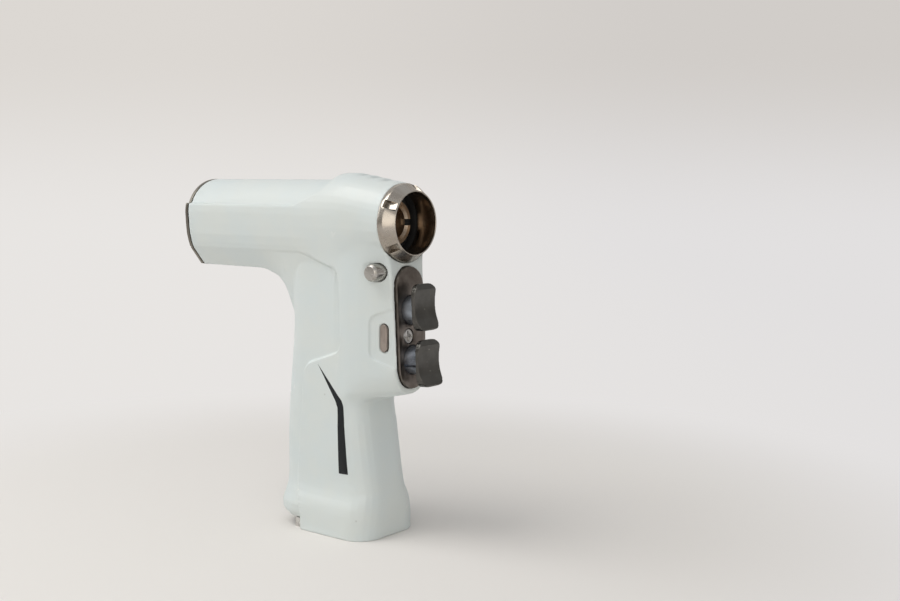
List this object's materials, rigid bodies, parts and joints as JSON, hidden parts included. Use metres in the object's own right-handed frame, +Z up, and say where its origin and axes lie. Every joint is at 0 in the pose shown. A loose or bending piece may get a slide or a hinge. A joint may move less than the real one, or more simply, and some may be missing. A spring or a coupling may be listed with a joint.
{
  "type": "surgical power drill",
  "caption": "Cordless pistol-grip surgical drill handpiece with sliding triggers, cannulated motor, planetary gearbox, nose socket for attachments and an open foot for a battery.",
  "frame": {"origin": "on the surface that the foot stands on, halfway between the rear cap and the tips of the triggers, in the middle plane", "axes": "+X forward along the drive axis out of the nose, +Y to the left of the person who holds it, +Z up"},
  "size_m": [0.1432, 0.041, 0.166],
  "materials": {
    "pale_enamel": "satin coat",
    "satin_steel": "satin",
    "silver_alloy": "satin",
    "warm_nickel": "satin plated",
    "dark_steel": "blackened satin",
    "paddle_grey": "blackened satin",
    "bronze": "satin",
    "gear_steel": "ground",
    "lamination": "bare laminated",
    "copper": "enamelled copper wire",
    "magnet": "plated magnet",
    "black_rubber": "matt",
    "black_plastic": "matt",
    "board_green": "coated circuit board",
    "contact_gold": "gold plated",
    "lead_red": "silicone sleeve"
  },
  "bodies": {
    "handpiece": {"housing": "pale_enamel", "rear_cap": "silver_alloy", "rear_cap_screw_1": "gear_steel", "rear_cap_screw_2": "gear_steel", "rear_cap_screw_3": "gear_steel", "rear_cap_screw_4": "gear_steel", "rear_cap_seal": "black_rubber", "nose_ring": "warm_nickel", "motor_stator": "lamination", "motor_windings": "copper", "rear_bearing": "gear_steel", "front_bearing": "gear_steel", "motor_end_plate": "silver_alloy", "motor_rear_plate": "silver_alloy", "spindle_bearing_rear": "gear_steel", "spindle_bearing_front": "gear_steel", "bearing_spacer": "satin_steel", "ring_gear": "gear_steel", "nose_seal": "black_rubber", "cannula_tube": "satin_steel", "trigger_plate": "dark_steel", "trigger_plate_screw": "satin_steel", "upper_trigger_bush": "bronze", "upper_trigger_spring": "gear_steel", "lower_trigger_bush": "bronze", "lower_trigger_spring": "gear_steel", "release_spring": "gear_steel", "trigger_frame": "black_plastic", "sensor_board": "board_green", "power_board": "board_green", "power_module": "silver_alloy", "motor_leads": "lead_red", "terminal_block": "black_plastic", "contact_blade_1": "contact_gold", "contact_blade_2": "contact_gold", "contact_blade_3": "contact_gold", "battery_rail_left": "satin_steel", "battery_rail_right": "satin_steel"},
    "rotor": {"rotor_shaft": "gear_steel", "rotor_magnet": "magnet"},
    "first_carrier": {"first_carrier": "gear_steel"},
    "first_planet_1": {"first_planet_1": "gear_steel"},
    "first_planet_2": {"first_planet_2": "gear_steel"},
    "first_planet_3": {"first_planet_3": "gear_steel"},
    "output_spindle": {"output_spindle": "bronze"},
    "second_planet_1": {"second_planet_1": "gear_steel"},
    "second_planet_2": {"second_planet_2": "gear_steel"},
    "second_planet_3": {"second_planet_3": "gear_steel"},
    "upper_trigger": {"upper_trigger": "paddle_grey", "upper_trigger_magnet": "magnet"},
    "lower_trigger": {"lower_trigger": "paddle_grey", "lower_trigger_magnet": "magnet"},
    "safety_slide": {"safety_slide": "bronze"},
    "release_button": {"release_button": "satin_steel"},
    "lock_pin": {"lock_pin": "gear_steel"}
  },
  "joints": [
    {"name": "rotor_spin", "type": "hinge", "parent": "handpiece", "child": "rotor", "pos_m": [0, 0, 0.1438], "axis": [1, 0, 0], "continuous": true},
    {"name": "first_carrier_spin", "type": "hinge", "parent": "handpiece", "child": "first_carrier", "pos_m": [0, 0, 0.1438], "axis": [1, 0, 0], "continuous": true},
    {"name": "first_planet_spin_1", "type": "hinge", "parent": "first_carrier", "child": "first_planet_1", "pos_m": [0, 0, 0.1348], "axis": [1, 0, 0], "continuous": true},
    {"name": "first_planet_spin_2", "type": "hinge", "parent": "first_carrier", "child": "first_planet_2", "pos_m": [0, 0.00779, 0.1483], "axis": [1, 0, 0], "continuous": true},
    {"name": "first_planet_spin_3", "type": "hinge", "parent": "first_carrier", "child": "first_planet_3", "pos_m": [0, -0.00779, 0.1483], "axis": [1, 0, 0], "continuous": true},
    {"name": "output_spindle_spin", "type": "hinge", "parent": "handpiece", "child": "output_spindle", "pos_m": [0, 0, 0.1438], "axis": [1, 0, 0], "continuous": true},
    {"name": "second_planet_spin_1", "type": "hinge", "parent": "output_spindle", "child": "second_planet_1", "pos_m": [0, 0, 0.1348], "axis": [1, 0, 0], "continuous": true},
    {"name": "second_planet_spin_2", "type": "hinge", "parent": "output_spindle", "child": "second_planet_2", "pos_m": [0, 0.00779, 0.1483], "axis": [1, 0, 0], "continuous": true},
    {"name": "second_planet_spin_3", "type": "hinge", "parent": "output_spindle", "child": "second_planet_3", "pos_m": [0, -0.00779, 0.1483], "axis": [1, 0, 0], "continuous": true},
    {"name": "upper_trigger_slide", "type": "slide", "parent": "handpiece", "child": "upper_trigger", "axis": [-0.9986, 0, -0.0523], "range_m": [0, 0.006], "stiffness_N_per_m": 600, "springref_m": -0.004, "deforming": ["upper_trigger_spring"]},
    {"name": "lower_trigger_slide", "type": "slide", "parent": "handpiece", "child": "lower_trigger", "axis": [-0.9986, 0, -0.0523], "range_m": [0, 0.006], "stiffness_N_per_m": 600, "springref_m": -0.004, "deforming": ["lower_trigger_spring"]},
    {"name": "safety_slide_shift", "type": "slide", "parent": "handpiece", "child": "safety_slide", "axis": [0, 1, 0], "range_m": [-0.003, 0]},
    {"name": "release_button_push", "type": "slide", "parent": "handpiece", "child": "release_button", "axis": [0, 1, 0], "range_m": [0, 0.004], "stiffness_N_per_m": 500, "springref_m": -0.002, "deforming": ["release_spring"]},
    {"name": "lock_pin_drop", "type": "slide", "parent": "handpiece", "child": "lock_pin", "axis": [0, 0, 1], "range_m": [-0.0015, 0]}
  ],
  "couplings": [
    {"joint": "first_carrier_spin", "follows": "rotor_spin", "ratio": 0.25},
    {"joint": "first_planet_spin_1", "follows": "rotor_spin", "ratio": -0.75},
    {"joint": "first_planet_spin_2", "follows": "rotor_spin", "ratio": -0.75},
    {"joint": "first_planet_spin_3", "follows": "rotor_spin", "ratio": -0.75},
    {"joint": "output_spindle_spin", "follows": "rotor_spin", "ratio": 0.0625},
    {"joint": "second_planet_spin_1", "follows": "rotor_spin", "ratio": -0.1875},
    {"joint": "second_planet_spin_2", "follows": "rotor_spin", "ratio": -0.1875},
    {"joint": "second_planet_spin_3", "follows": "rotor_spin", "ratio": -0.1875},
    {"joint": "lock_pin_drop", "follows": "release_button_push", "ratio": -0.375}
  ]
}
